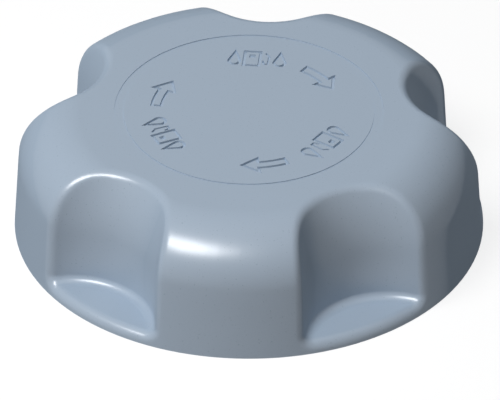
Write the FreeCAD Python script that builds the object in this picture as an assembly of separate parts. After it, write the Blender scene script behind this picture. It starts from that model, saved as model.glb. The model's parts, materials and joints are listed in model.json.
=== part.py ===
import FreeCAD, Part

import math
import os

from FreeCAD import Vector

# Fuel filler cap with five finger scallops. A torque-limiting face ratchet sits between the
# moulded grip and the threaded closure, and a pressure and vacuum valve fills its middle.
# Millimetres and degrees. The origin is the middle of the rim's lower face, +Z points up.
# Radii grow outward from the filler neck, and heights grow upward from the rim.

# Filler neck and threaded closure
NECK_BORE_RADIUS = 26.0
NECK_TUBE_WALL = 2.8
THREAD_DEPTH = 1.2
THREAD_WIDTH = 1.4
THREAD_PITCH = 6.0
THREAD_LEAD_IN = 1.3
SKIRT_WALL = 1.7
MOUTH_HEIGHT = 0.8
RELIEF_DEPTH = 0.6
RELIEF_HEIGHT = 3.0
PLATE_THICKNESS = 2.0
FLANGE_WIDTH = 2.1
FLANGE_THICKNESS = 2.0
GASKET_THICKNESS = 2.0
GASKET_BEAD_HEIGHT = 0.5

# How far a cutting form runs past the face that it opens
CUT_MARGIN = 1.0

# Outside of the grip
FLANGE_CLEARANCE = 1.9
GRIP_WALL = 2.6
SCALLOP_DEPTH = 9.5
CAP_HEIGHT = 25.85
WALL_DRAFT = 3.2
TOP_EDGE_RADIUS = 11.7
SCALLOP_COUNT = 5
FIRST_SCALLOP = 90.0
SCALLOP_RADIUS = 16.0
SCALLOP_FLOOR_HEIGHT = 2.3
SCALLOP_DRAFT = 2.4
SCALLOP_BEND_HEIGHT = 13.2
SCALLOP_BEND_RADIUS = 26.6
SCALLOP_FLOOR_FILLET = 1.7
SCALLOP_LIP_RADIUS = 2.0
GROOVE_RADIUS = 25.6
GROOVE_WIDTH = 0.4
GROOVE_DEPTH = 0.25

# Retaining ring, its screws and their posts inside the lobes
RING_RECESS_DEPTH = 1.0
RING_THICKNESS = 2.4
RING_GAP = 0.4
RING_WIDTH = 2.6
POST_RADIUS = 3.8
POST_GAP = 2.4
POST_RIB_THICKNESS = 2.0
EAR_RADIUS = 4.4
SCREW_RADIUS = 1.5
SCREW_HEAD_RADIUS = 2.9
SCREW_HEAD_HEIGHT = 1.4
SCREW_LENGTH = 9.0
SCREW_FIT = 0.05
COUNTERBORE_DEPTH = 1.1
COUNTERBORE_FIT = 0.3
WASHER_THICKNESS = 0.5
RUNNING_GAP = 0.1

# Face ratchet
TOOTH_COUNT = 20
TOOTH_HEIGHT = 1.2
TOOTH_LAND_ANGLE = 1.0
TOOTH_INSET = 1.1
CLUTCH_INSET = 0.6
CLUTCH_GAP = 0.8
CLUTCH_THICKNESS = 2.1
CLUTCH_BACKLASH_ANGLE = 0.3
LUG_WIDTH = 6.0
LUG_LENGTH = 4.6
LUG_THICKNESS = 1.6
LUG_FIT = 0.25
GUIDE_RIB_THICKNESS = 1.5
GUIDE_RIB_GAP = 1.1
GUIDE_RIB_OVERLAP = 2.4
CLUTCH_SPRING_HEIGHT = 2.5
CLUTCH_SPRING_THICKNESS = 0.5
CLUTCH_SPRING_WIDTH = 4.0
CLUTCH_SPRING_WAVES = 3
SPRING_SEAT_WIDTH = 1.2
SPRING_SEAT_HEIGHT = 2.35

# Valve tower, vent filter and seat cup
BOSS_COUNT = 3
BOSS_RADIUS = 2.4
BOSS_GAP = 0.4
BOSS_OVERLAP = 0.4
TOWER_WALL = 2.0
ROOF_THICKNESS = 1.5
ROOF_GAP = 0.65
VENT_COUNT = 6
FIRST_VENT = 15.0
VENT_RADIUS = 1.2
FILTER_THICKNESS = 3.0
FILTER_HEIGHT = 4.0
CLIP_THICKNESS = 0.8
CLIP_OVERHANG = 0.2
CLIP_TAB_COUNT = 8
CLIP_SLOT_WIDTH = 1.0
CUP_SCREW_RADIUS = 1.0
CUP_SCREW_HEAD_RADIUS = 1.9
CUP_SCREW_HEAD_HEIGHT = 1.1
CUP_SCREW_LENGTH = 4.6
CUP_HEAD_GAP = 0.2
CUP_THICKNESS = 1.6
CUP_GASKET_THICKNESS = 0.4
CUP_GASKET_INSET = 0.1
SEAT_LIP_WIDTH = 1.0
SEAT_LIP_HEIGHT = 0.8

# Radii inside the tower, as shares of its bore
SEAT_OPENING_SHARE = 0.40
SEAT_LIP_SHARE = 0.54
PRESSURE_PLATE_SHARE = 0.79
PRESSURE_COIL_SHARE = 0.58
VACUUM_SEAL_SHARE = 0.29
VACUUM_COIL_SHARE = 0.20

# Pressure valve
PRESSURE_SEAL_WIDTH = 3.4
PRESSURE_SEAL_THICKNESS = 1.0
PRESSURE_PLATE_THICKNESS = 1.6
COLLAR_HEIGHT = 1.0
COLLAR_WALL = 1.0
PRESSURE_WIRE_DIAMETER = 1.0
PRESSURE_TURNS = 3.5
COIL_FIT = 0.2
WIRE_FLATS = 8
PLATE_GUIDE_COUNT = 4
FIRST_PLATE_GUIDE = 45.0
PLATE_GUIDE_THICKNESS = 1.6
PLATE_GUIDE_FIT = 0.3

# Vacuum valve
STEM_RADIUS = 1.3
STEM_FIT = 0.2
PORT_COUNT = 4
PORT_RADIUS = 0.7
VACUUM_SEAL_THICKNESS = 0.7
VACUUM_SEAL_OVERHANG = 0.2
POPPET_THICKNESS = 1.2
VACUUM_SPRING_HEIGHT = 3.0
VACUUM_WIRE_DIAMETER = 0.5
VACUUM_TURNS = 2.5
RETAINER_OVERHANG = 0.9
RETAINER_THICKNESS = 0.8
STEM_OVERHANG = 0.4

# Radii that follow, from the neck outward
skirt_radius = NECK_BORE_RADIUS + THREAD_DEPTH + SKIRT_WALL
flange_radius = skirt_radius + FLANGE_WIDTH
scallop_back = flange_radius + FLANGE_CLEARANCE + GRIP_WALL
rim_radius = scallop_back + SCALLOP_DEPTH
ring_inner = skirt_radius + RING_GAP
ring_outer = ring_inner + RING_WIDTH
post_circle = flange_radius + POST_GAP + POST_RADIUS

# Radii that follow, from the neck inward
neck_inner = NECK_BORE_RADIUS - NECK_TUBE_WALL
boss_circle = neck_inner - BOSS_GAP - BOSS_RADIUS
tower_radius = boss_circle - BOSS_RADIUS + BOSS_OVERLAP
tower_bore = tower_radius - TOWER_WALL
filter_radius = tower_radius + FILTER_THICKNESS
clutch_inner = filter_radius + CLIP_OVERHANG + CLUTCH_GAP
clutch_outer = skirt_radius - CLUTCH_INSET
tooth_inner = clutch_inner + CLIP_OVERHANG
tooth_outer = skirt_radius - TOOTH_INSET

# Radii that follow, inside the tower
seat_opening = SEAT_OPENING_SHARE * tower_bore
seat_lip = SEAT_LIP_SHARE * tower_bore
pressure_plate_radius = PRESSURE_PLATE_SHARE * tower_bore
pressure_coil = PRESSURE_COIL_SHARE * tower_bore
vacuum_seal_radius = VACUUM_SEAL_SHARE * tower_bore
vacuum_coil = VACUUM_COIL_SHARE * tower_bore
poppet_radius = vacuum_seal_radius - VACUUM_SEAL_OVERHANG
retainer_radius = vacuum_coil + VACUUM_WIRE_DIAMETER / 2 + RETAINER_OVERHANG
stem_guide = STEM_RADIUS + STEM_FIT
port_circle = (stem_guide + vacuum_seal_radius) / 2

# Heights that follow, up from the rim
ring_top = RING_RECESS_DEPTH + RING_THICKNESS
flange_bottom = ring_top + WASHER_THICKNESS + RUNNING_GAP
thread_start = MOUTH_HEIGHT + THREAD_LEAD_IN

# Heights that follow, down from the ceiling
ceiling = CAP_HEIGHT - GRIP_WALL
clutch_spring_top = ceiling - SPRING_SEAT_HEIGHT
clutch_top = clutch_spring_top - CLUTCH_SPRING_HEIGHT
clutch_bottom = clutch_top - CLUTCH_THICKNESS - TOOTH_HEIGHT
plate_top = clutch_bottom - RUNNING_GAP
plate_bottom = plate_top - PLATE_THICKNESS
gasket_bottom = plate_bottom - GASKET_THICKNESS
bore_top = gasket_bottom - RELIEF_HEIGHT

# Heights that follow, up from the seat cup's screws
cup_bottom = bore_top + CUP_HEAD_GAP + CUP_SCREW_HEAD_HEIGHT
cup_top = cup_bottom + CUP_THICKNESS
tower_bottom = cup_top + CUP_GASKET_THICKNESS
roof_top = ceiling - ROOF_GAP
roof_bottom = roof_top - ROOF_THICKNESS
vent_height = plate_top + FILTER_HEIGHT / 2
pressure_plate_bottom = cup_top + SEAT_LIP_HEIGHT + PRESSURE_SEAL_THICKNESS
pressure_plate_top = pressure_plate_bottom + PRESSURE_PLATE_THICKNESS
retainer_bottom = pressure_plate_top + VACUUM_SPRING_HEIGHT

# Angles that follow
lobe_pitch = 360.0 / SCALLOP_COUNT
first_lobe = FIRST_SCALLOP + lobe_pitch / 2
tooth_pitch = 360.0 / TOOTH_COUNT
ramp_angle = tooth_pitch - TOOTH_LAND_ANGLE

UP = Vector(0, 0, 1)
ORIGIN = Vector(0, 0, 0)


def disc(radius, bottom, top, x=0.0, y=0.0):
    return Part.makeCylinder(radius, top - bottom, Vector(x, y, bottom))


def ring(inner, outer, bottom, top):
    return disc(outer, bottom, top).cut(disc(inner, bottom, top))


def block(x_from, x_to, width, bottom, top):
    """A box along +X, centred on the X axis."""
    corner = Vector(x_from, -width / 2, bottom)
    return Part.makeBox(x_to - x_from, width, top - bottom, corner)


def turned(shape, angle):
    copy = shape.copy()
    copy.rotate(ORIGIN, UP, angle)
    return copy


def around(shape, count, first=0.0):
    """Evenly spaced copies of a shape that is drawn at azimuth 0."""
    return [turned(shape, first + i * 360.0 / count) for i in range(count)]


def revolved(points):
    """A turned piece from its half section, given as radius and height."""
    corners = [Vector(radius, 0, height) for radius, height in points]
    outline = Part.makePolygon(corners + corners[:1])
    return Part.Face(outline).revolve(ORIGIN, UP, 360)


def polygon(sides, radius, x, height):
    """A regular polygon in the horizontal plane, by its corner radius."""
    corners = []
    for i in range(sides + 1):
        angle = 2 * math.pi * i / sides
        corners.append(Vector(x + radius * math.cos(angle), radius * math.sin(angle), height))
    return Part.makePolygon(corners)


def fused(shapes):
    return shapes[0].multiFuse(shapes[1:]).removeSplitter()


def grip_wall_radius(height, inset):
    draft = math.radians(WALL_DRAFT)
    return rim_radius - inset / math.cos(draft) - height * math.tan(draft)


def grip_form(inset, bottom):
    """The round form of the grip before its scallops, set in from the outside by inset."""
    draft = math.radians(WALL_DRAFT)
    top = CAP_HEIGHT - inset
    edge = TOP_EDGE_RADIUS - inset
    arc_height = top - edge
    arc_radius = grip_wall_radius(arc_height, inset) - edge / math.cos(draft)

    def on_arc(angle):
        return Vector(arc_radius + edge * math.cos(angle), 0, arc_height + edge * math.sin(angle))

    wall_foot = Vector(grip_wall_radius(bottom, inset), 0, bottom)
    wall_head = on_arc(draft)
    top_edge = Vector(arc_radius, 0, top)
    axis_top = Vector(0, 0, top)
    axis_foot = Vector(0, 0, bottom)
    outline = Part.Wire([
        Part.LineSegment(axis_foot, wall_foot).toShape(),
        Part.LineSegment(wall_foot, wall_head).toShape(),
        Part.Arc(wall_head, on_arc((math.pi / 2 + draft) / 2), top_edge).toShape(),
        Part.LineSegment(top_edge, axis_top).toShape(),
        Part.LineSegment(axis_top, axis_foot).toShape(),
    ])
    form = Part.Face(outline).revolve(ORIGIN, UP, 360)
    return turned(form, first_lobe)


def scallop(grow, floor):
    """The round tool that leaves one finger scallop at azimuth 0.

    It stands on the draft angle and then bends in over the top. The wall inside follows
    the same path with a tool that is larger by grow.
    """
    draft = math.radians(SCALLOP_DRAFT)
    radius = SCALLOP_RADIUS + grow
    foot_radius = scallop_back + SCALLOP_RADIUS + SCALLOP_FLOOR_HEIGHT * math.tan(draft)
    lean = Vector(-math.sin(draft), 0, math.cos(draft))
    bend_start = Vector(foot_radius, 0, 0) + lean * (SCALLOP_BEND_HEIGHT / math.cos(draft))
    foot = bend_start - lean * CAP_HEIGHT
    straight = Part.makeCylinder(radius, CAP_HEIGHT, foot, lean)
    inward = Vector(-math.cos(draft), 0, -math.sin(draft))
    bend_centre = bend_start + inward * (SCALLOP_BEND_RADIUS + SCALLOP_RADIUS)
    section = Part.Face(Part.Wire(Part.makeCircle(radius, bend_start, lean)))
    bend = section.revolve(bend_centre, Vector(0, -1, 0), 60)
    above = Part.makeBox(4 * rim_radius, 4 * rim_radius, 4 * CAP_HEIGHT,
                         Vector(-rim_radius, -2 * rim_radius, floor))
    return straight.fuse(bend).removeSplitter().common(above)


def finger_scallops():
    tool = scallop(0.0, SCALLOP_FLOOR_HEIGHT)
    foot_edges = [edge for edge in tool.Edges if abs(edge.BoundBox.ZMax - SCALLOP_FLOOR_HEIGHT) < 1e-3]
    return around(tool.makeFillet(SCALLOP_FLOOR_FILLET, foot_edges), SCALLOP_COUNT, FIRST_SCALLOP)


def scallop_lips(solid, form):
    """The edges where the scallops break the outside of the grip."""
    skin = Part.Shell([face for face in form.Faces if face.BoundBox.ZMax > SCALLOP_FLOOR_HEIGHT])
    lips = []
    for edge in solid.Edges:
        faces = solid.ancestorsOfType(edge, Part.Face)
        middle = edge.valueAt((edge.FirstParameter + edge.LastParameter) / 2)
        if edge.BoundBox.ZMax < SCALLOP_FLOOR_HEIGHT or len(faces) < 2:
            continue
        normals = [face.normalAt(*face.Surface.parameter(middle)) for face in faces[:2]]
        bend = math.degrees(normals[0].getAngle(normals[1]))
        on_skin = skin.distToShape(Part.Vertex(middle))[0] < 1e-3
        if on_skin and 5 < bend < 175:
            lips.append(edge)
    return lips


def grip_outside():
    form = grip_form(0.0, 0.0)
    cut = form.cut(Part.makeCompound(finger_scallops())).Solids[0]
    rounded = cut.makeFillet(SCALLOP_LIP_RADIUS, scallop_lips(cut, form))
    groove = ring(GROOVE_RADIUS - GROOVE_WIDTH, GROOVE_RADIUS,
                  CAP_HEIGHT - GROOVE_DEPTH, CAP_HEIGHT + CUT_MARGIN)
    return rounded.cut(groove)


def grip_inside():
    """The hollow under the grip: the round form set in by the wall, less the scallops' walls."""
    hollow = grip_form(GRIP_WALL, -1.0)
    walls = around(scallop(GRIP_WALL, -GRIP_WALL), SCALLOP_COUNT, FIRST_SCALLOP)
    return hollow.cut(Part.makeCompound(walls))


def lobe_details():
    """Post, stiffening rib and the two guide ribs of one lobe, drawn at azimuth 0."""
    guide_inner = clutch_outer + GUIDE_RIB_GAP
    guide_outer = post_circle - POST_RADIUS + GUIDE_RIB_OVERLAP
    guide_offset = (LUG_WIDTH + GUIDE_RIB_THICKNESS) / 2 + LUG_FIT
    guide = block(guide_inner, guide_outer, GUIDE_RIB_THICKNESS, plate_top, CAP_HEIGHT)
    post = disc(POST_RADIUS, ring_top, CAP_HEIGHT, post_circle)
    web = block(post_circle, rim_radius, POST_RIB_THICKNESS, ring_top + POST_RADIUS, CAP_HEIGHT)
    left = guide.translated(Vector(0, guide_offset, 0))
    right = guide.translated(Vector(0, -guide_offset, 0))
    return fused([post, web, left, right])


def make_grip_shell():
    shell = grip_outside().cut(grip_inside())
    seats = []
    for edge in (-CLUTCH_SPRING_WIDTH / 2, CLUTCH_SPRING_WIDTH / 2):
        middle = (clutch_inner + clutch_outer) / 2 + edge
        seats.append(ring(middle - SPRING_SEAT_WIDTH / 2, middle + SPRING_SEAT_WIDTH / 2,
                          clutch_spring_top, CAP_HEIGHT))
    details = around(lobe_details(), SCALLOP_COUNT, first_lobe) + seats
    within = grip_form(GRIP_WALL / 2, 0.0)
    shell = fused([shell] + [detail.common(within) for detail in details])
    pilot_top = ring_top - RING_THICKNESS + COUNTERBORE_DEPTH + SCREW_LENGTH + SCREW_FIT
    pilot = disc(SCREW_RADIUS + SCREW_FIT, ring_top - CUT_MARGIN, pilot_top, post_circle)
    return shell.cut(Part.makeCompound(around(pilot, SCALLOP_COUNT, first_lobe)))


def make_retaining_ring():
    ear = disc(EAR_RADIUS, RING_RECESS_DEPTH, ring_top, post_circle)
    neck = block(ring_inner + RING_WIDTH / 2, post_circle, 2 * EAR_RADIUS, RING_RECESS_DEPTH, ring_top)
    ears = around(ear.fuse(neck), SCALLOP_COUNT, first_lobe)
    body = fused([ring(ring_inner, ring_outer, RING_RECESS_DEPTH, ring_top)] + ears)
    hole = disc(SCREW_RADIUS + SCREW_FIT, RING_RECESS_DEPTH - CUT_MARGIN, ring_top + CUT_MARGIN, post_circle)
    counterbore = disc(SCREW_HEAD_RADIUS + COUNTERBORE_FIT, RING_RECESS_DEPTH - CUT_MARGIN,
                       RING_RECESS_DEPTH + COUNTERBORE_DEPTH, post_circle)
    body = body.cut(Part.makeCompound(around(hole.fuse(counterbore), SCALLOP_COUNT, first_lobe)))
    body = body.cut(disc(ring_inner, RING_RECESS_DEPTH - CUT_MARGIN, ring_top + CUT_MARGIN))
    return body.removeSplitter()


def screw(radius, length, head_radius, head_height, seat):
    """A screw with a hexagon socket that points up, its head's upper face at height seat."""
    base = seat - head_height
    tip = seat + length
    bevel = head_height / 3
    body = revolved([
        (0, base), (head_radius - bevel, base), (head_radius, base + bevel), (head_radius, seat),
        (radius, seat), (radius, tip - bevel), (radius - bevel, tip), (0, tip),
    ])
    socket = Part.Face(polygon(6, radius, 0.0, base)).extrude(Vector(0, 0, head_height / 2))
    return body.cut(socket)


def make_retaining_screws():
    one = screw(SCREW_RADIUS, SCREW_LENGTH, SCREW_HEAD_RADIUS, SCREW_HEAD_HEIGHT,
                RING_RECESS_DEPTH + COUNTERBORE_DEPTH)
    one.translate(Vector(post_circle, 0, 0))
    return Part.makeCompound(around(one, SCALLOP_COUNT, first_lobe))


def make_slip_washer():
    return ring(ring_inner, flange_radius, ring_top, ring_top + WASHER_THICKNESS)


def ramp_band(inner, outer, high, thickness):
    """A helical band of one tooth's ramp: its top falls by the tooth height as the azimuth grows."""
    pitch = TOOTH_HEIGHT * 360.0 / ramp_angle
    path = Part.makeHelix(pitch, TOOTH_HEIGHT, (inner + outer) / 2, 0, True)
    section = Part.makePolygon([
        Vector(inner, 0, 0), Vector(outer, 0, 0), Vector(outer, 0, thickness),
        Vector(inner, 0, thickness), Vector(inner, 0, 0),
    ])
    band = swept(section, path)
    # The left-handed helix climbs as the azimuth falls, so it is turned to start at its low end.
    band.rotate(ORIGIN, UP, ramp_angle)
    band.translate(Vector(0, 0, high - TOOTH_HEIGHT - thickness))
    return band


def make_clutch_ring():
    plate = ring(clutch_inner, clutch_outer, clutch_bottom, clutch_top)
    lug = block(clutch_outer - RING_WIDTH, clutch_outer + LUG_LENGTH, LUG_WIDTH,
                clutch_top - LUG_THICKNESS, clutch_top)
    body = fused([plate] + around(lug, SCALLOP_COUNT, first_lobe))
    space = ramp_band(clutch_inner - CUT_MARGIN, clutch_outer + CUT_MARGIN,
                      clutch_bottom + TOOTH_HEIGHT, TOOTH_HEIGHT * 2)
    spaces = around(space, TOOTH_COUNT, -CLUTCH_BACKLASH_ANGLE)
    return body.cut(Part.makeCompound(spaces)).removeSplitter()


def wave_curve(radius, height, amplitude):
    points = []
    samples = 8 * CLUTCH_SPRING_WAVES
    for i in range(samples):
        angle = 2 * math.pi * i / samples
        lift = amplitude * math.cos(CLUTCH_SPRING_WAVES * angle)
        points.append(Vector(radius * math.cos(angle), radius * math.sin(angle), height + lift))
    curve = Part.BSplineCurve()
    curve.interpolate(points, PeriodicFlag=True)
    return curve.toShape()


def make_clutch_spring():
    """A wave washer that touches the clutch ring and the seat ribs at three crests each."""
    middle_radius = (clutch_inner + clutch_outer) / 2
    amplitude = (CLUTCH_SPRING_HEIGHT - CLUTCH_SPRING_THICKNESS) / 2
    height = clutch_top + amplitude
    inner = wave_curve(middle_radius - CLUTCH_SPRING_WIDTH / 2, height, amplitude)
    outer = wave_curve(middle_radius + CLUTCH_SPRING_WIDTH / 2, height, amplitude)
    return Part.makeRuledSurface(inner, outer).extrude(Vector(0, 0, CLUTCH_SPRING_THICKNESS))


def swept(section, path):
    """A solid that a closed section leaves along a helix."""
    sweep = Part.BRepOffsetAPI.MakePipeShell(path)
    sweep.setFrenetMode(True)
    sweep.add(section)
    sweep.build()
    sweep.makeSolid()
    return sweep.shape()


def thread_groove():
    """The groove of the neck's coarse thread, cut outward from the bore."""
    mouth = NECK_BORE_RADIUS - THREAD_DEPTH / 6
    root = NECK_BORE_RADIUS + THREAD_DEPTH
    path = Part.makeHelix(THREAD_PITCH, bore_top - thread_start, NECK_BORE_RADIUS)
    path.translate(Vector(0, 0, thread_start))
    section = Part.makePolygon([
        Vector(mouth, 0, thread_start - THREAD_WIDTH / 2),
        Vector(root, 0, thread_start - THREAD_WIDTH / 4),
        Vector(root, 0, thread_start + THREAD_WIDTH / 4),
        Vector(mouth, 0, thread_start + THREAD_WIDTH / 2),
        Vector(mouth, 0, thread_start - THREAD_WIDTH / 2),
    ])
    return swept(section, path)


def make_threaded_closure():
    relief = NECK_BORE_RADIUS + RELIEF_DEPTH
    flange_top = flange_bottom + FLANGE_THICKNESS
    body = revolved([
        (0, roof_bottom), (tower_bore, roof_bottom), (tower_bore, tower_bottom),
        (tower_radius, tower_bottom), (tower_radius, plate_bottom), (relief, plate_bottom),
        (relief, bore_top), (NECK_BORE_RADIUS, bore_top), (NECK_BORE_RADIUS, MOUTH_HEIGHT),
        (skirt_radius, MOUTH_HEIGHT), (skirt_radius, flange_bottom), (flange_radius, flange_bottom),
        (flange_radius, flange_top), (skirt_radius, flange_top), (skirt_radius, plate_top),
        (tower_radius, plate_top), (tower_radius, roof_top), (0, roof_top),
    ])
    teeth = ramp_band(tooth_inner, tooth_outer, plate_top + TOOTH_HEIGHT, TOOTH_HEIGHT * 1.3)
    boss = disc(BOSS_RADIUS, cup_top, plate_top, boss_circle)
    guide = block(pressure_plate_radius + PLATE_GUIDE_FIT, tower_bore + TOWER_WALL / 2,
                  PLATE_GUIDE_THICKNESS, tower_bottom, roof_top - ROOF_THICKNESS / 2)
    body = fused([body] + around(boss, BOSS_COUNT) + around(guide, PLATE_GUIDE_COUNT, FIRST_PLATE_GUIDE))
    body = fused([body] + around(teeth, TOOTH_COUNT))
    pilot = disc(CUP_SCREW_RADIUS + SCREW_FIT, cup_top - CUT_MARGIN,
                 cup_bottom + CUP_SCREW_LENGTH + SCREW_FIT, boss_circle)
    port = Part.makeCylinder(VENT_RADIUS, 2 * TOWER_WALL,
                             Vector(tower_bore - TOWER_WALL / 2, 0, vent_height), Vector(1, 0, 0))
    cuts = around(pilot, BOSS_COUNT) + around(port, VENT_COUNT, FIRST_VENT) + [thread_groove()]
    return body.cut(Part.makeCompound(cuts))


def make_neck_gasket():
    """A flat gasket with a raised bead that bites on the neck's rim."""
    outer = NECK_BORE_RADIUS + RELIEF_DEPTH - RUNNING_GAP
    middle = (neck_inner + outer) / 2
    bead = GASKET_BEAD_HEIGHT
    return revolved([
        (neck_inner, gasket_bottom), (middle - bead, gasket_bottom), (middle, gasket_bottom - bead),
        (middle + bead, gasket_bottom), (outer, gasket_bottom), (outer, plate_bottom),
        (neck_inner, plate_bottom),
    ])


def make_filter_sleeve():
    return ring(tower_radius, filter_radius, plate_top, plate_top + FILTER_HEIGHT)


def make_filter_clip():
    """A push-on ring with slots that lets its inner tabs grip the tower."""
    bottom = plate_top + FILTER_HEIGHT
    body = ring(tower_radius, filter_radius + CLIP_OVERHANG, bottom, bottom + CLIP_THICKNESS)
    slot = block(tower_radius - CUT_MARGIN, (tower_radius + filter_radius) / 2, CLIP_SLOT_WIDTH,
                 bottom - CUT_MARGIN, bottom + CLIP_THICKNESS + CUT_MARGIN)
    return body.cut(Part.makeCompound(around(slot, CLIP_TAB_COUNT)))


def make_valve_seat_cup():
    lip_inner = seat_lip - SEAT_LIP_WIDTH / 2
    lip_outer = seat_lip + SEAT_LIP_WIDTH / 2
    body = revolved([
        (seat_opening, cup_bottom), (tower_radius, cup_bottom), (tower_radius, cup_top),
        (lip_outer, cup_top), (seat_lip, cup_top + SEAT_LIP_HEIGHT), (lip_inner, cup_top),
        (seat_opening, cup_top),
    ])
    ear = disc(BOSS_RADIUS, cup_bottom, cup_top, boss_circle)
    hole = disc(CUP_SCREW_RADIUS + SCREW_FIT, cup_bottom - CUT_MARGIN, cup_top + CUT_MARGIN, boss_circle)
    body = fused([body] + around(ear, BOSS_COUNT))
    return body.cut(Part.makeCompound(around(hole, BOSS_COUNT)))


def make_cup_gasket():
    return ring(tower_bore + CUP_GASKET_INSET, tower_radius - BOSS_OVERLAP - CUP_GASKET_INSET,
                cup_top, tower_bottom)


def make_cup_screws():
    one = screw(CUP_SCREW_RADIUS, CUP_SCREW_LENGTH, CUP_SCREW_HEAD_RADIUS, CUP_SCREW_HEAD_HEIGHT, cup_bottom)
    one.translate(Vector(boss_circle, 0, 0))
    return Part.makeCompound(around(one, BOSS_COUNT))


def make_pressure_plate():
    """The disc that the main spring pushes down, with a collar inside the coil."""
    collar_outer = pressure_coil - PRESSURE_WIRE_DIAMETER / 2 - COIL_FIT
    collar_inner = collar_outer - COLLAR_WALL
    body = disc(pressure_plate_radius, pressure_plate_bottom, pressure_plate_top)
    collar = ring(collar_inner, collar_outer, pressure_plate_top, pressure_plate_top + COLLAR_HEIGHT)
    port = disc(PORT_RADIUS, pressure_plate_bottom - CUT_MARGIN, pressure_plate_top + CUT_MARGIN, port_circle)
    guide = disc(stem_guide, pressure_plate_bottom - CUT_MARGIN, pressure_plate_top + CUT_MARGIN)
    return body.fuse(collar).removeSplitter().cut(Part.makeCompound([guide] + around(port, PORT_COUNT)))


def make_pressure_seal():
    inner = seat_lip - PRESSURE_SEAL_WIDTH / 2
    return ring(inner, inner + PRESSURE_SEAL_WIDTH,
                pressure_plate_bottom - PRESSURE_SEAL_THICKNESS, pressure_plate_bottom)


def coil_spring(coil_radius, wire, turns, bottom, top):
    """An open coil that just touches its seats. Its wire is drawn with flats."""
    pitch = (top - bottom - wire) / turns
    centre = Vector(coil_radius, 0, bottom + wire / 2)
    path = Part.makeHelix(pitch, pitch * turns, coil_radius)
    path.translate(Vector(0, 0, centre.z))
    section = polygon(WIRE_FLATS, wire / 2 / math.cos(math.pi / WIRE_FLATS), coil_radius, centre.z)
    section.rotate(centre, UP, 180.0 / WIRE_FLATS)
    section.rotate(centre, Vector(1, 0, 0), 90)
    return swept(section, path)


def make_pressure_spring():
    return coil_spring(pressure_coil, PRESSURE_WIRE_DIAMETER, PRESSURE_TURNS,
                       pressure_plate_top, roof_bottom)


def make_vacuum_poppet():
    """A mushroom valve: its head shuts the ports from below, its stem carries the light spring."""
    head_top = pressure_plate_bottom - VACUUM_SEAL_THICKNESS
    head_bottom = head_top - POPPET_THICKNESS
    stem_top = retainer_bottom + RETAINER_THICKNESS + STEM_OVERHANG
    return revolved([
        (0, head_bottom), (poppet_radius - POPPET_THICKNESS / 2, head_bottom),
        (poppet_radius, head_bottom + POPPET_THICKNESS / 2), (poppet_radius, head_top),
        (STEM_RADIUS, head_top), (STEM_RADIUS, stem_top), (0, stem_top),
    ])


def make_vacuum_seal():
    return ring(STEM_RADIUS, vacuum_seal_radius,
                pressure_plate_bottom - VACUUM_SEAL_THICKNESS, pressure_plate_bottom)


def make_vacuum_spring():
    return coil_spring(vacuum_coil, VACUUM_WIRE_DIAMETER, VACUUM_TURNS,
                       pressure_plate_top, retainer_bottom)


def make_vacuum_retainer():
    return ring(STEM_RADIUS, retainer_radius, retainer_bottom, retainer_bottom + RETAINER_THICKNESS)


PIECES = {
    "grip_shell": make_grip_shell,
    "retaining_ring": make_retaining_ring,
    "retaining_screws": make_retaining_screws,
    "slip_washer": make_slip_washer,
    "clutch_ring": make_clutch_ring,
    "clutch_spring": make_clutch_spring,
    "threaded_closure": make_threaded_closure,
    "neck_gasket": make_neck_gasket,
    "filter_sleeve": make_filter_sleeve,
    "filter_clip": make_filter_clip,
    "valve_seat_cup": make_valve_seat_cup,
    "cup_gasket": make_cup_gasket,
    "cup_screws": make_cup_screws,
    "pressure_plate": make_pressure_plate,
    "pressure_seal": make_pressure_seal,
    "pressure_spring": make_pressure_spring,
    "vacuum_poppet": make_vacuum_poppet,
    "vacuum_seal": make_vacuum_seal,
    "vacuum_spring": make_vacuum_spring,
    "vacuum_retainer": make_vacuum_retainer,
}

os.makedirs("parts", exist_ok=True)
for name, make in PIECES.items():
    shape = make()
    print(name, "valid" if shape.isValid() else "not valid", len(shape.Solids), "solids",
          round(shape.Volume, 1), "mm3")
    shape.exportStep("parts/" + name + ".step")
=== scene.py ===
"""The look of a fuel filler cap: moulded grip with engraved marks, closure, seals and valve.

Lengths are in metres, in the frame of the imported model: the origin is the middle of the rim's
lower face and +Z points up. Angles are in degrees. Azimuth 0 is +X, and the camera stands near
azimuth 270.
"""
import json
import math

import bmesh
import bpy
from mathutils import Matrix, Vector


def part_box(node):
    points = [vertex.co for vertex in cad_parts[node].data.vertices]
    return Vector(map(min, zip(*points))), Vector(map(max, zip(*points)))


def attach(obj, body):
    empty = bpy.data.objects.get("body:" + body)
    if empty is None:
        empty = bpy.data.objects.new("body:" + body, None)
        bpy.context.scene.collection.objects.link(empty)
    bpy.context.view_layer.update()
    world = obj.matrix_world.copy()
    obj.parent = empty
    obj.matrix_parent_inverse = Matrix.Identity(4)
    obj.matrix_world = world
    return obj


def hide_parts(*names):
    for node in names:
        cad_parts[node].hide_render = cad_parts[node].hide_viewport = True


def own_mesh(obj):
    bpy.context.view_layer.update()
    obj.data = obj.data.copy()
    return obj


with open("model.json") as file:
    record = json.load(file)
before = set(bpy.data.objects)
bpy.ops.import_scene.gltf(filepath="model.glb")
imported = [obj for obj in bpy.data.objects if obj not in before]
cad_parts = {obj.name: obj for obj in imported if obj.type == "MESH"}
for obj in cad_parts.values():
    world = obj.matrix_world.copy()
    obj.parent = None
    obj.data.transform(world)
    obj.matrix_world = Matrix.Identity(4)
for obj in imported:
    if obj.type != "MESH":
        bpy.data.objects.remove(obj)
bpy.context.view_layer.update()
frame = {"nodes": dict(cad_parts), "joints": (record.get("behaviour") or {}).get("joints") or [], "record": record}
nodes = frame["nodes"]
scene = bpy.context.scene
scene.view_settings.view_transform = "Standard"

WHITE = (1.0, 1.0, 1.0, 1.0)

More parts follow.
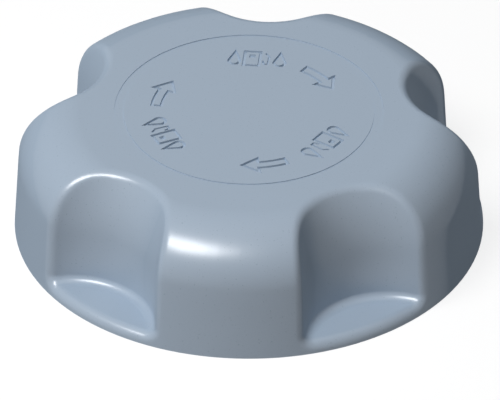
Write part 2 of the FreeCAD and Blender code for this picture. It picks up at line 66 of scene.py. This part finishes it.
# Camera: the photograph's long view from the front, above the rim
VIEW_AZIMUTH = 275.2
VIEW_ELEVATION = 35.26
LENS = 1300.0
SENSOR = 36.0
FRAME_WIDTH = 0.09605
AIM_RIGHT = 0.0002
AIM_UP = 0.0042
CLIP_START = 0.1
CLIP_END = 10.0

# Light: an even, faintly blue sky and lamps at a level where colours show as written
SKY_COLOR = (0.97, 0.985, 1.0, 1.0)
SKY_LEVEL = 0.12
LAMP_DISTANCE = 1.6
LAMP_SIZE = (0.4, 0.4)
HIGHLIGHT_SIZE = (1.0, 0.6)
FLOOR_LAMP_SIZE = (0.9, 0.9)

# Soft lamps without shadows: azimuth, elevation and power
SOFT_LAMPS = {
    "front": (234.0, 44.0, 3.6),
    "side": (210.0, 53.0, 16.6),
    "left": (195.0, 40.0, 4.2),
    "right": (345.0, 20.0, 3.2),
    "back": (80.0, 30.0, 2.5),
    "under": (270.0, -90.0, 7.0),
}

# Floor: paper that half glows where it is seen, and a dull grey to light on its way to the cap
FLOOR_RADIUS = 1.5
FLOOR_SIDES = 96
FLOOR_GAP = 0.00002
PAPER = (0.8, 0.8, 0.8, 1.0)
FLOOR_GLOW = 0.5
FLOOR_BOUNCE = (0.12, 0.12, 0.12, 1.0)

# Materials: the values that a noise mostly keeps between, and the depths of surface patterns
NOISE_LOW = 0.3
NOISE_HIGH = 0.7
CLOUD_SCALE = 60.0
GRAIN_DEPTH = 0.00005
LINE_DEPTH = 0.00003
PORE_DEPTH = 0.0002
MOULDED_GLOSS_SPREAD = 0.03
DRAWN_GLOSS_SPREAD = 0.06
DRAWN_DARK = 0.9
DRAWN_BRIGHT = 1.06

# Plastic's gloss fades where the surface turns away: the facing values where this starts and ends
GLOSS_FADE_START = 0.12
GLOSS_FADE_END = 0.55

PLASTICS = {
    "grip_plastic": {"color": (0.320, 0.394, 0.484), "roughness": 0.30, "grain": 2600.0, "bump": 0.05,
                     "specular": 1.0, "variation": 0.012},
    "closure_plastic": {"color": (0.045, 0.048, 0.052), "roughness": 0.42, "grain": 2200.0, "bump": 0.25},
    "ratchet_plastic": {"color": (0.80, 0.79, 0.74), "roughness": 0.38, "grain": 1800.0, "bump": 0.10},
    "valve_plastic": {"color": (0.62, 0.60, 0.52), "roughness": 0.45, "grain": 2400.0, "bump": 0.25},
    "seal_rubber": {"color": (0.025, 0.025, 0.027), "roughness": 0.72, "grain": 3200.0, "bump": 0.35,
                    "specular": 0.3},
}

METALS = {
    "zinc_steel": {"color": (0.50, 0.51, 0.52), "roughness": 0.36, "lines": (900.0, 900.0, 2400.0),
                   "bump": 0.10},
    "spring_steel": {"color": (0.52, 0.52, 0.53), "roughness": 0.26, "lines": (700.0, 700.0, 3000.0),
                     "bump": 0.12},
    "valve_brass": {"color": (0.66, 0.48, 0.20), "roughness": 0.30, "lines": (2600.0, 2600.0, 900.0),
                    "bump": 0.05},
}

FOAM_COLOR = (0.16, 0.17, 0.18)
FOAM_CELLS = 1600.0
FOAM_STRUT_EDGE = 0.02
FOAM_PORE_EDGE = 0.16
# Painted shade in the foam's pores: their colour as a share of the struts' colour
FOAM_PORE_PAINTED_SHADE = 0.25
FOAM_BUMP = 0.9
FOAM_ROUGHNESS = 0.95
FOAM_SPECULAR = 0.2

# Engraved marks on the top, in places round the axis
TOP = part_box("grip_shell")[1].z
MARK_RADIUS = 0.0178
PUMP_ANGLES = (90.0, -30.0, -150.0)
ARROW_ANGLES = (45.0, -75.0, 165.0)

# Lines of the marks: their depth, the cutting form's rise over the top, and their widths
MARK_DEPTH = 0.0005
MARK_RISE = 0.0001
STROKE = 0.0006
HOSE_STROKE = 0.0004

# The share of its width that a line loses down to its floor
MARK_DRAFT = 0.24

# The least cosine that lengthens a line's corners, so that sharp ones stay short
LEAST_MITRE = 0.4

# Pump sign, from its middle: boxes as left, right, low and high, and the hose's points
PUMP_BODY = (-0.0025, 0.0005, -0.0023, 0.0023)
PUMP_WINDOW = (-0.0016, -0.0004, 0.0003, 0.0014)
PUMP_HOSE = ((0.0011, -0.0006), (0.00135, -0.0017), (0.0021, -0.0017), (0.00225, 0.0009), (0.0015, 0.0019))

# A drop on each side of a pump
DROP_PLACES = (-0.00435, 0.00435)
DROP_HEIGHT = 0.0042
DROP_WIDTH = 0.0021
DROP_STEPS = 20

# Arrow: half widths, and the angles of its ends and its neck from its middle
ARROW_SHAFT = 0.0009
ARROW_BARB = 0.0022
ARROW_START = 13.5
ARROW_NECK = -4.0
ARROW_TIP = -14.0
ARROW_STEPS = 12

# Wide, shallow ring groove round the marks, which takes the place of the solid's thin one
RING_INNER = 0.02395
RING_OUTER = 0.0258
RING_DEPTH = 0.00018
RING_STEPS = 360
THIN_RING_DEPTH = 0.0003
WELD_DISTANCE = 1e-7


def toward(azimuth, elevation):
    """The direction from the cap to a place round it."""
    a = math.radians(azimuth)
    e = math.radians(elevation)
    return Vector((math.cos(a) * math.cos(e), math.sin(a) * math.cos(e), math.sin(e)))


def new_object(name, data):
    """An object in the scene."""
    obj = bpy.data.objects.new(name, data)
    scene.collection.objects.link(obj)
    return obj


def form_object(name, bm):
    """An object in the scene with a finished form as its mesh."""
    mesh = bpy.data.meshes.new(name)
    bm.to_mesh(mesh)
    bm.free()
    return new_object(name, mesh)


def add_camera():
    """A camera in front of the cap, raised and a little to the right."""
    back = toward(VIEW_AZIMUTH, VIEW_ELEVATION)
    turn = (-back).to_track_quat("-Z", "Y")
    aim = turn @ Vector((AIM_RIGHT, AIM_UP, 0.0))
    distance = FRAME_WIDTH * LENS / SENSOR
    data = bpy.data.cameras.new("camera")
    data.lens = LENS
    data.sensor_width = SENSOR
    data.clip_start = CLIP_START
    data.clip_end = CLIP_END
    camera = new_object("camera", data)
    camera.rotation_mode = "QUATERNION"
    camera.rotation_quaternion = turn
    camera.location = aim + back * distance
    scene.camera = camera


def add_lamp(name, azimuth, elevation, power, size=LAMP_SIZE, shadow=False, diffuse=True, gloss=False):
    """An oval area lamp that faces the cap."""
    data = bpy.data.lights.new(name, "AREA")
    data.shape = "ELLIPSE"
    data.size, data.size_y = size
    data.energy = power
    data.use_shadow = shadow
    lamp = new_object(name, data)
    lamp.location = toward(azimuth, elevation) * LAMP_DISTANCE
    lamp.rotation_mode = "QUATERNION"
    lamp.rotation_quaternion = (-lamp.location).to_track_quat("-Z", "Y")
    lamp.visible_diffuse = diffuse
    lamp.visible_glossy = gloss
    return lamp


class Nodes:
    """A short way to write a node tree. A node given as an input stands for its first output."""

    # The sockets of a Mix node that are for colours
    FIRST_COLOR = 6
    SECOND_COLOR = 7
    MIXED_COLOR = 2

    def __init__(self, tree):
        self.tree = tree
        self.tree.nodes.clear()

    def add(self, kind, inputs=None, **settings):
        node = self.tree.nodes.new(kind)
        for key, value in settings.items():
            setattr(node, key, value)
        for key, value in (inputs or {}).items():
            if isinstance(value, bpy.types.Node):
                value = value.outputs[0]
            if isinstance(value, bpy.types.NodeSocket):
                self.tree.links.new(value, node.inputs[key])
            else:
                node.inputs[key].default_value = value
        return node

    def remap(self, value, start, end, low, high):
        """Low up to start, high from end on, and in proportion between them."""
        return self.add("ShaderNodeMapRange", {"Value": value, "From Min": start, "From Max": end,
                                               "To Min": low, "To Max": high})

    def noise(self, place, scale, detail):
        node = self.add("ShaderNodeTexNoise", {"Vector": place, "Scale": scale, "Detail": detail})
        return node.outputs["Fac"]

    def mix_colors(self, factor, first, second):
        colors = {0: factor, self.FIRST_COLOR: first, self.SECOND_COLOR: second}
        return self.add("ShaderNodeMix", colors, data_type="RGBA").outputs[self.MIXED_COLOR]

    def mix_shaders(self, factor, first, second):
        return self.add("ShaderNodeMixShader", {0: factor, 1: first, 2: second})

    def shown(self):
        """1 for what the camera sees, straight or by reflection or through glass, and 0 for the rest."""
        path = self.add("ShaderNodeLightPath").outputs
        seen = self.add("ShaderNodeMath", {0: path["Is Camera Ray"], 1: path["Is Glossy Ray"]},
                        operation="MAXIMUM")
        return self.add("ShaderNodeMath", {0: seen, 1: path["Is Transmission Ray"]}, operation="MAXIMUM")


def new_material(name):
    """A material with an empty node tree, and the tool that writes it."""
    material = bpy.data.materials.new(name)
    material.use_nodes = True
    return material, Nodes(material.node_tree)


def add_world():
    """An even sky that shows white behind the cap and in its reflections."""
    world = bpy.data.worlds.new("studio")
    scene.world = world
    world.use_nodes = True
    n = Nodes(world.node_tree)
    light = n.add("ShaderNodeBackground", {"Color": SKY_COLOR, "Strength": SKY_LEVEL})
    white = n.add("ShaderNodeBackground", {"Color": WHITE, "Strength": 1.0})
    n.add("ShaderNodeOutputWorld", {"Surface": n.mix_shaders(n.shown(), light, white)})


def add_floor():
    """A pale floor with a soft shadow from a lamp of its own, dull to the cap and clear from below."""
    bm = bmesh.new()
    bmesh.ops.create_circle(bm, cap_ends=True, segments=FLOOR_SIDES, radius=FLOOR_RADIUS)
    floor = form_object("floor", bm)
    floor.location.z = -FLOOR_GAP
    material, n = new_material("floor_paper")
    dull = n.add("ShaderNodeBsdfDiffuse", {"Color": FLOOR_BOUNCE})
    paper = n.add("ShaderNodeBsdfDiffuse", {"Color": PAPER})
    glow = n.add("ShaderNodeEmission", {"Color": WHITE, "Strength": 1.0})
    pale = n.mix_shaders(FLOOR_GLOW, paper, glow)
    above = n.mix_shaders(n.shown(), dull, pale)
    below = n.add("ShaderNodeBsdfTransparent")
    underside = n.add("ShaderNodeNewGeometry").outputs["Backfacing"]
    n.add("ShaderNodeOutputMaterial", {"Surface": n.mix_shaders(underside, above, below)})
    floor.data.materials.append(material)
    receivers = bpy.data.collections.new("floor_light_receivers")
    receivers.objects.link(floor)
    lamp = add_lamp("floor_light", azimuth=225.0, elevation=62.0, power=10.0, size=FLOOR_LAMP_SIZE,
                    shadow=True)
    lamp.light_linking.receiver_collection = receivers


def shade(color, factor):
    """A colour made darker or brighter, with its alpha."""
    return tuple(min(1.0, c * factor) for c in color) + (1.0,)


def plastic(name, color, roughness, grain, bump, specular=0.5, variation=0.03):
    """Moulded plastic: a fine grain in the gloss and the surface, and a faint cloud in the colour."""
    material, n = new_material(name)
    place = n.add("ShaderNodeTexCoord").outputs["Object"]
    fine = n.noise(place, scale=grain, detail=3.0)
    cloud = n.noise(place, scale=CLOUD_SCALE, detail=2.0)
    tint = n.mix_colors(cloud, shade(color, 1.0 - variation), shade(color, 1.0 + variation))
    gloss = n.remap(fine, NOISE_LOW, NOISE_HIGH, roughness - MOULDED_GLOSS_SPREAD,
                    roughness + MOULDED_GLOSS_SPREAD)
    relief = n.add("ShaderNodeBump", {"Height": fine, "Strength": bump, "Distance": GRAIN_DEPTH})
    edge = n.add("ShaderNodeLayerWeight", {"Blend": 0.5, "Normal": relief}).outputs["Facing"]
    sheen = n.remap(edge, GLOSS_FADE_START, GLOSS_FADE_END, specular, 0.0)
    shader = n.add("ShaderNodeBsdfPrincipled", {"Base Color": tint, "Roughness": gloss, "Normal": relief,
                                                "Specular IOR Level": sheen})
    n.add("ShaderNodeOutputMaterial", {"Surface": shader})
    return material


def metal(name, color, roughness, lines, bump):
    """Drawn or turned metal: fine lines, counted to a metre of each axis, vary its gloss and surface."""
    material, n = new_material(name)
    place = n.add("ShaderNodeTexCoord").outputs["Object"]
    scaled = n.add("ShaderNodeMapping", {"Vector": place, "Scale": lines})
    drawn = n.noise(scaled, scale=1.0, detail=4.0)
    tint = n.mix_colors(drawn, shade(color, DRAWN_DARK), shade(color, DRAWN_BRIGHT))
    gloss = n.remap(drawn, NOISE_LOW, NOISE_HIGH, roughness - DRAWN_GLOSS_SPREAD,
                    roughness + DRAWN_GLOSS_SPREAD)
    relief = n.add("ShaderNodeBump", {"Height": drawn, "Strength": bump, "Distance": LINE_DEPTH})
    shader = n.add("ShaderNodeBsdfPrincipled", {"Base Color": tint, "Roughness": gloss, "Normal": relief,
                                                "Metallic": 1.0})
    n.add("ShaderNodeOutputMaterial", {"Surface": shader})
    return material


def foam(name, color):
    """Open-cell foam: pale struts, with painted shade in the small pores between them, which the bump also sinks.
    """
    material, n = new_material(name)
    place = n.add("ShaderNodeTexCoord").outputs["Object"]
    cells = n.add("ShaderNodeTexVoronoi", {"Vector": place, "Scale": FOAM_CELLS},
                  feature="DISTANCE_TO_EDGE")
    painted_pore_shade_and_depth = n.remap(cells.outputs["Distance"], FOAM_STRUT_EDGE, FOAM_PORE_EDGE, 0.0, 1.0)
    # Painted shade: the pores are darkened towards a quarter of the struts' colour, and the same mask sinks them
    # in the bump
    tint = n.mix_colors(painted_pore_shade_and_depth, shade(color, 1.0), shade(color, FOAM_PORE_PAINTED_SHADE))
    height = n.add("ShaderNodeMath", {0: 1.0, 1: painted_pore_shade_and_depth}, operation="SUBTRACT")
    relief = n.add("ShaderNodeBump", {"Height": height, "Strength": FOAM_BUMP, "Distance": PORE_DEPTH})
    shader = n.add("ShaderNodeBsdfPrincipled", {"Base Color": tint, "Roughness": FOAM_ROUGHNESS,
                                                "Normal": relief, "Specular IOR Level": FOAM_SPECULAR})
    n.add("ShaderNodeOutputMaterial", {"Surface": shader})
    return material


def make_materials():
    """One material for each slot of the record."""
    made = {name: plastic(name, **look) for name, look in PLASTICS.items()}
    made.update({name: metal(name, **look) for name, look in METALS.items()})
    made["filter_foam"] = foam("filter_foam", FOAM_COLOR)
    return made


def dress_nodes(materials):
    """Give each node of the frame the material of its slot."""
    slots = {part["node"]: part["material_slot"] for part in frame["record"]["subparts"]}
    for name, node in nodes.items():
        node.data.materials.clear()
        node.data.materials.append(materials[slots[name]])


def polar(radius, angle):
    """A point on the top from its distance to the axis and its azimuth."""
    a = math.radians(angle)
    return Vector((radius * math.cos(a), radius * math.sin(a)))


def beside(angle, right, up):
    """A point near a mark's middle: right is clockwise along the circle, up is outward."""
    middle = polar(MARK_RADIUS, angle)
    out = middle.normalized()
    along = Vector((out.y, -out.x))
    return middle + along * right + out * up


def drop_outline(angle, across):
    """A drop that points outward."""
    radius = DROP_WIDTH / 2
    centre = radius - DROP_HEIGHT / 2
    tip = DROP_HEIGHT / 2
    lean = math.acos(radius / (tip - centre))
    points = [beside(angle, across, tip)]
    for i in range(DROP_STEPS + 1):
        a = math.pi / 2 - lean - i * (2 * math.pi - 2 * lean) / DROP_STEPS
        points.append(beside(angle, across + radius * math.cos(a), centre + radius * math.sin(a)))
    return points


def box_outline(angle, left, right, low, high):
    """A box whose upper side faces outward."""
    return [beside(angle, *corner) for corner in ((left, low), (right, low), (right, high), (left, high))]


def arc(radius, start, end):
    """Points along a circle round the axis."""
    return [polar(radius, start + (end - start) * i / ARROW_STEPS) for i in range(ARROW_STEPS + 1)]


def arrow_outline(angle):
    """A hollow arrow that bends clockwise along the circle."""
    start, neck, tip = angle + ARROW_START, angle + ARROW_NECK, angle + ARROW_TIP
    outer = arc(MARK_RADIUS + ARROW_SHAFT, start, neck)
    inner = arc(MARK_RADIUS - ARROW_SHAFT, neck, start)
    head = [polar(MARK_RADIUS + ARROW_BARB, neck), polar(MARK_RADIUS, tip),
            polar(MARK_RADIUS - ARROW_BARB, neck)]
    return outer + head + inner


def spread(rise):
    """A mark's width at a height over the top, as a share of its width in the top's plane."""
    return 1.0 + MARK_DRAFT * rise / MARK_DEPTH


def row_of(bm, points, rise):
    """Vertices over flat points, at one height over the top."""
    return [bm.verts.new((p.x, p.y, TOP + rise)) for p in points]


def sweep(bm, rows, closed):
    """A tube whose edges run along the rows. It closes into a ring, or has flat ends."""
    steps = len(rows[0]) if closed else len(rows[0]) - 1
    for i in range(steps):
        j = (i + 1) % len(rows[0])
        for a in range(len(rows)):
            b = (a + 1) % len(rows)
            bm.faces.new((rows[a][i], rows[b][i], rows[b][j], rows[a][j]))
    if not closed:
        bm.faces.new([row[0] for row in reversed(rows)])
        bm.faces.new([row[-1] for row in rows])


def cut_box(bm, points):
    """The form that cuts a pit with a convex outline."""
    centre = sum(points, Vector((0.0, 0.0))) / len(points)
    levels = []
    for rise in (-MARK_DEPTH, MARK_RISE):
        levels.append(row_of(bm, [centre + (p - centre) * spread(rise) for p in points], rise))
    sweep(bm, list(zip(*levels)), closed=False)


def cut_line(bm, points, width, closed=True):
    """The form that cuts a line of even width along points."""
    count = len(points)
    sides = []
    for i, point in enumerate(points):
        before = points[i - 1] if (i > 0 or closed) else None
        after = points[(i + 1) % count] if (i < count - 1 or closed) else None
        ahead = (after - point).normalized() if after is not None else (point - before).normalized()
        behind = (point - before).normalized() if before is not None else ahead
        tangent = (ahead + behind).normalized()
        side = Vector((-tangent.y, tangent.x))
        sides.append(side * width / 2 / max(LEAST_MITRE, side.dot(Vector((-ahead.y, ahead.x)))))
    rows = []
    for hand, rise in ((1, -MARK_DEPTH), (-1, -MARK_DEPTH), (-1, MARK_RISE), (1, MARK_RISE)):
        placed = [point + side * hand * spread(rise) for point, side in zip(points, sides)]
        rows.append(row_of(bm, placed, rise))
    sweep(bm, rows, closed)


def cut_ring(bm):
    """The flat ring that cuts the groove round the marks."""
    rows = []
    for radius, rise in ((RING_INNER, -RING_DEPTH), (RING_OUTER, -RING_DEPTH),
                         (RING_OUTER, RING_DEPTH), (RING_INNER, RING_DEPTH)):
        around = [polar(radius, 360.0 * i / RING_STEPS) for i in range(RING_STEPS)]
        rows.append(row_of(bm, around, rise))
    sweep(bm, rows, closed=True)


def mark_cutter():
    """Three fuel pump signs, each between two drops, three arrows along the closing turn, and the ring."""
    bm = bmesh.new()
    for angle in PUMP_ANGLES:
        for across in DROP_PLACES:
            cut_line(bm, drop_outline(angle, across), STROKE)
        cut_line(bm, box_outline(angle, *PUMP_BODY), STROKE)
        cut_box(bm, box_outline(angle, *PUMP_WINDOW))
        cut_line(bm, [beside(angle, *point) for point in PUMP_HOSE], HOSE_STROKE, closed=False)
    for angle in ARROW_ANGLES:
        cut_line(bm, arrow_outline(angle), STROKE)
    cut_ring(bm)
    bmesh.ops.recalc_face_normals(bm, faces=bm.faces)
    return form_object("mark_cutter", bm)


def add_cover(material):
    """The grip shell with its thin ring groove closed, and the marks and the wide groove cut in."""
    flat = nodes["grip_shell"].data.copy()
    for vertex in flat.vertices:
        if vertex.co.z > TOP - THIN_RING_DEPTH and vertex.co.xy.length < RING_OUTER:
            vertex.co.z = TOP
    cover = new_object("grip_cover", flat)
    cutter = mark_cutter()
    weld = cover.modifiers.new("weld", "WELD")
    weld.merge_threshold = WELD_DISTANCE
    cut = cover.modifiers.new("marks", "BOOLEAN")
    cut.operation = "DIFFERENCE"
    cut.solver = "EXACT"
    cut.object = cutter
    graph = bpy.context.evaluated_depsgraph_get()
    mesh = bpy.data.meshes.new_from_object(cover.evaluated_get(graph))
    cover.modifiers.clear()
    cover.data = mesh
    bpy.data.objects.remove(cutter)
    mesh.materials.clear()
    mesh.materials.append(material)
    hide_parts("grip_shell")
    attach(cover, "grip")


def add_springs():
    """The springs, copied to objects of their own that ride on their bodies."""
    bodies = frame["record"]["behaviour"]["bodies"]
    body_of = {node: body for body, members in bodies.items() for node in members}
    for joint in frame["joints"]:
        for entry in joint.get("deforming_nodes", []):
            name = entry["node"]
            coil = new_object(name.replace("spring", "coil"), nodes[name].data.copy())
            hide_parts(name)
            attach(coil, body_of[name])
            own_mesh(coil)


add_camera()
add_world()
add_floor()
add_lamp("highlight", azimuth=236.0, elevation=47.5, power=19.0, size=HIGHLIGHT_SIZE,
         diffuse=False, gloss=True)
for name, (azimuth, elevation, power) in SOFT_LAMPS.items():
    add_lamp(name, azimuth, elevation, power)
materials = make_materials()
dress_nodes(materials)
add_cover(materials["grip_plastic"])
add_springs()
